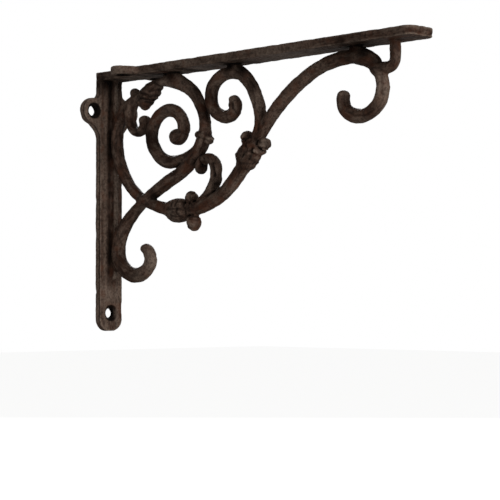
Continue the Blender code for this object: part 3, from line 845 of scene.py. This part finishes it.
# All the painted shade together: corners, crease, groove, holes, cuts and dark spots.
grime = 1 - (1 - grime) * (1 - np.minimum(1.15 * cut_shade, 0.85)) * (1 - spot_shade)
print("mean grime", round(grime.mean(), 3))

# %% [markdown]
# Sharp edges are pale, partly worn paint and partly painted edge highlight. The listed highlight
# spots, the strap's sides and the faces beside the crease get painted highlight where no painted
# shade covers them. The "flow" attribute runs along each limb, along the arm and down the strap, so
# that brush marks follow the iron.

# %% Pale edges and painted highlight, and the way the brush ran
# Painted light: the highlight spots, the strap's sides and the faces beside the crease.
painted_light = np.maximum(rubbed, 0.55 * strap_side + 0.5 * strap_face)
# Pale on sharp edges, partly worn paint and partly painted edge highlight, and painted highlight where
# marked.
wear_and_highlight = np.maximum(1 - ramp(close, 0.24, 0.36), painted_light * (1 - grime))
on_arm = z > -ARM_THICK - 0.5
on_limb = (past_limb < 0.8) & (x > 4.8)
flow = np.select(
    [on_arm[:, None], on_limb[:, None]],
    [places[:, [0, 2, 1]], np.stack([along, across, places[:, 1]], axis=1)],
    places[:, [2, 0, 1]],
)
for name, values in (("grime", grime), ("wear_and_highlight", wear_and_highlight)):
    mesh.attributes.new(name, "FLOAT", "POINT").data.foreach_set("value", values.astype(np.float32))
brushed = mesh.attributes.new("flow", "FLOAT_VECTOR", "POINT")
brushed.data.foreach_set("vector", flow.astype(np.float32).ravel())
print("mean wear", round(wear_and_highlight.mean(), 3))

# %% [markdown]
# ## Cast iron
#
# The bracket is grey cast iron with an old coat of dark brown oil paint, worn on its edges. To the eye
# that gives brown and grey-brown patches a few millimetres across, a reddish cast where rust shows
# through, near black painted shade in the corners, pale painted highlights, and a dull satin shine. The
# paint hides the metal, so the surface is a dielectric.

# %% Colours and shader nodes


def linear(hex_colour):
    """Linear colour from an sRGB hex code: ((c + 0.055) / 1.055)^2.4 above the dark toe."""
    srgb = [int(hex_colour[i : i + 2], 16) / 255 for i in (1, 3, 5)]
    return [c / 12.92 if c <= 0.04045 else ((c + 0.055) / 1.055) ** 2.4 for c in srgb] + [1.0]


def add_node(tree, kind, **settings):
    """Adds a shader node. A setting is an input by name or as in0, in1, or the node's own property."""
    node = tree.nodes.new(kind)
    for key, value in settings.items():
        number = key[2:] if key.startswith("in") else ""
        socket = node.inputs[int(number)] if number.isdigit() else node.inputs.get(key.replace("_", " "))
        if socket is None:
            setattr(node, key, value)
        elif isinstance(value, bpy.types.NodeSocket):
            tree.links.new(value, socket)
        else:
            socket.default_value = value
    return node


PAINT = linear("#4D3427")
print("brown paint, linear:", [round(c, 3) for c in PAINT[:3]])

# %% [markdown]
# Six noises give the paint its life. Patches, rust, specks and grain are the same in every direction,
# in sizes from 9 mm down to 0.9 mm. Streaks and bands read "flow", and are drawn out along the limb.
# Each coat is a colour laid over the last one, as far as its mask lets it. A mask is the fade of a
# noise, and for the pale edges with painted highlight and for the painted shade, the mesh's attribute
# broken up by specks.

# %% Noises, fades and coats
# Name, what it follows, size in millimetres, detail, and scale along each axis, where less is longer.
NOISES = [
    ("patches", "solid", 6.0, 3.0, (1, 1, 1)),
    ("rust", "solid", 9.0, 2.0, (1, 1, 1)),
    ("specks", "solid", 1.5, 3.0, (1, 1, 1)),
    ("grain", "solid", 0.9, 3.0, (1, 1, 1)),
    ("streaks", "flow", 1.5, 3.0, (0.22, 1, 1)),
    ("bands", "flow", 3.2, 3.0, (0.28, 1, 1)),
]
# Name, the noise it reads, where it starts and ends, and its value at each.
FADES = [
    ("pale", "patches", 0.42, 0.58, 0.0, 1.0),
    ("dark streak", "streaks", 0.38, 0.58, 0.8, 0.0),
    ("pale band", "bands", 0.48, 0.66, 0.0, 0.85),
    ("dark speck", "specks", 0.48, 0.66, 0.0, 0.75),
    ("red", "rust", 0.54, 0.68, 0.0, 0.6),
    ("rubbed", "specks", 0.35, 0.62, 1.0, 0.35),
    # Specks that break up the pale edges with painted highlight, and the painted shade.
    ("shade_specks", "specks", 0.30, 0.70, 1.0, 0.88),
    ("dull", "specks", 0.35, 0.65, 0.48, 0.66),
]
# Mask and colour, from the first coat over the paint to the last.
COATS = [
    ("pale", "#6A5346"),
    ("dark streak", "#2C1D15"),
    ("pale band", "#776457"),
    ("dark speck", "#2A1B13"),
    ("red", "#5E3520"),
    # Pale grey: worn edges and painted highlight.
    ("wear_and_highlight", "#988576"),
    # Near black painted shade.
    ("grime", "#040201"),
]
print(len(NOISES), "noises,", len(FADES), "fades,", len(COATS), "coats over the paint")

# %% Brown painted cast iron


def cast_iron():
    """Brown paint over grey iron: patches, specks, rust and streaks, then pale edges and painted highlight,
    and painted shade over all.
    """
    material = bpy.data.materials.new("Brown painted cast iron")
    material.use_nodes = True
    tree = material.node_tree
    shader = tree.nodes["Principled BSDF"]
    follows = {
        "solid": (add_node(tree, "ShaderNodeTexCoord").outputs["Object"], MM),
        "flow": (add_node(tree, "ShaderNodeAttribute", attribute_name="flow").outputs["Vector"], 1.0),
    }
    noise = {}
    for name, follow, size, detail, stretch in NOISES:
        at, unit = follows[follow]
        turned = add_node(tree, "ShaderNodeMapping", Vector=at, Scale=stretch).outputs[0]
        noise[name] = add_node(
            tree, "ShaderNodeTexNoise", Vector=turned, Scale=1 / (size * unit), Detail=detail, Roughness=0.6
        ).outputs["Fac"]
    fade = {}
    for name, source, low, high, least, most in FADES:
        span = {"From_Min": low, "From_Max": high, "To_Min": least, "To_Max": most}
        fade[name] = add_node(tree, "ShaderNodeMapRange", Value=noise[source], **span).outputs[0]
    # The attributes of pale edges with painted highlight, and of painted shade, broken up by specks.
    for name, shared in (("wear_and_highlight", "rubbed"), ("grime", "shade_specks")):
        amount = add_node(tree, "ShaderNodeAttribute", attribute_name=name).outputs["Fac"]
        product = add_node(tree, "ShaderNodeMath", operation="MULTIPLY", in0=amount, in1=fade[shared])
        fade[name] = product.outputs[0]
    colour = PAINT
    for mask, shade in COATS:
        colour = add_node(
            tree, "ShaderNodeMix", data_type="RGBA", in0=fade[mask], in6=colour, in7=linear(shade)
        ).outputs[2]
    tree.links.new(colour, shader.inputs["Base Color"])
    shader.inputs["Specular IOR Level"].default_value = 0.14
    rough = add_node(tree, "ShaderNodeMapRange", Value=fade["grime"], To_Min=fade["dull"], To_Max=1.0)
    tree.links.new(rough.outputs[0], shader.inputs["Roughness"])
    lumps = add_node(tree, "ShaderNodeBump", Strength=0.8, Distance=0.3 * MM, Height=noise["specks"])
    under = {"Height": noise["grain"], "Normal": lumps.outputs[0]}
    skin = add_node(tree, "ShaderNodeBump", Strength=0.5, Distance=0.12 * MM, **under)
    tree.links.new(skin.outputs[0], shader.inputs["Normal"])
    return material


casting.data.materials.clear()
casting.data.materials.append(cast_iron())
print("finish:", casting.data.materials[0].name)

# %% [markdown]
# ## Floor, light and camera
#
# The bracket hangs in front of plain white, as in a shop's picture. The floor glows a little, to look
# as white as the room, and throws no light or shadow on the iron. Five softboxes light it: a key and a
# weaker one in front, one behind, and two weak ones at the left and below. The camera stands about a
# metre off and looks a little up. Its place, lens and heading were worked out from the picture of the
# arm, the strap and the holes.

# %% Floor
FLOOR_HALF, FLOOR_AT = 6.0, -0.30
corners = [(-1, -1), (1, -1), (1, 1), (-1, 1)]
floor_mesh = bpy.data.meshes.new("floor")
floor_mesh.from_pydata([(a * FLOOR_HALF, b * FLOOR_HALF, FLOOR_AT) for a, b in corners], [], [(0, 1, 2, 3)])
floor = bpy.data.objects.new("floor", floor_mesh)
bpy.context.scene.collection.objects.link(floor)
pale = bpy.data.materials.new("Pale floor")
pale.use_nodes = True
surface = pale.node_tree.nodes["Principled BSDF"]
surface.inputs["Base Color"].default_value = linear("#F4F4F2")
surface.inputs["Roughness"].default_value = 0.9
surface.inputs["Emission Color"].default_value = (1.0, 1.0, 1.0, 1.0)
surface.inputs["Emission Strength"].default_value = 0.77
floor_mesh.materials.append(pale)
floor.visible_diffuse = floor.visible_glossy = floor.visible_shadow = False
print("floor at", FLOOR_AT, "m")

# %% Room
ROOM_LIGHT, ROOM_SEEN = 0.2, 1.0
world = bpy.data.worlds.new("Studio")
world.use_nodes = True
tree = world.node_tree
seen = add_node(tree, "ShaderNodeLightPath").outputs["Is Camera Ray"]
room = add_node(tree, "ShaderNodeMapRange", Value=seen, To_Min=ROOM_LIGHT, To_Max=ROOM_SEEN)
tree.nodes["Background"].inputs["Color"].default_value = (1.0, 1.0, 1.0, 1.0)
tree.links.new(room.outputs[0], tree.nodes["Background"].inputs["Strength"])
bpy.context.scene.world = world
print("room light", ROOM_LIGHT, "on the iron,", ROOM_SEEN, "as seen")

# %% Lights
AIM = (0.1, 0.0, 0.0)
# Name, place, width, height and watts.
SOFTBOXES = [
    ("key", (2.1, -0.12, 0.14), 0.4, 0.5, 12.6),
    ("side", (1.9, -0.7, 0.35), 0.9, 0.9, 3.4),
    ("back", (-1.5, 1.6, 0.8), 1.4, 1.4, 30.0),
    ("left", (-0.4, -2.0, 0.2), 1.0, 1.0, 1.3),
    ("below", (0.7, -0.5, -1.2), 0.8, 0.8, 0.9),
]


def softbox(name, place, width, height, power):
    """A rectangular area light at a place, turned to face the bracket."""
    light = bpy.data.lights.new(name, "AREA")
    light.shape = "RECTANGLE"
    light.size, light.size_y, light.energy = width, height, power
    lamp = bpy.data.objects.new(name, light)
    bpy.context.scene.collection.objects.link(lamp)
    lamp.location = place
    lamp.rotation_mode = "QUATERNION"
    lamp.rotation_quaternion = (Vector(AIM) - Vector(place)).to_track_quat("-Z", "Y")


for box_light in SOFTBOXES:
    softbox(*box_light)
print("lights:", ", ".join(box_light[0] for box_light in SOFTBOXES))

# %% Camera
LENS, EYE = 122.65, (0.7826, -0.6379, -0.0595)
LEVEL_HEADING, PITCH = (-0.7193, 0.6947), 1.777
camera = bpy.data.cameras.new("camera")
camera.sensor_width = 36.0
camera.lens = LENS
viewer = bpy.data.objects.new("camera", camera)
bpy.context.scene.collection.objects.link(viewer)
viewer.location = EYE
pitch = math.radians(PITCH)
forward = Vector((*(part * math.cos(pitch) for part in LEVEL_HEADING), math.sin(pitch)))
viewer.rotation_mode = "QUATERNION"
viewer.rotation_quaternion = forward.to_track_quat("-Z", "Y")
bpy.context.scene.camera = viewer
bpy.context.scene.view_settings.view_transform = "Standard"
print("camera", EYE, "with a", LENS, "mm lens")
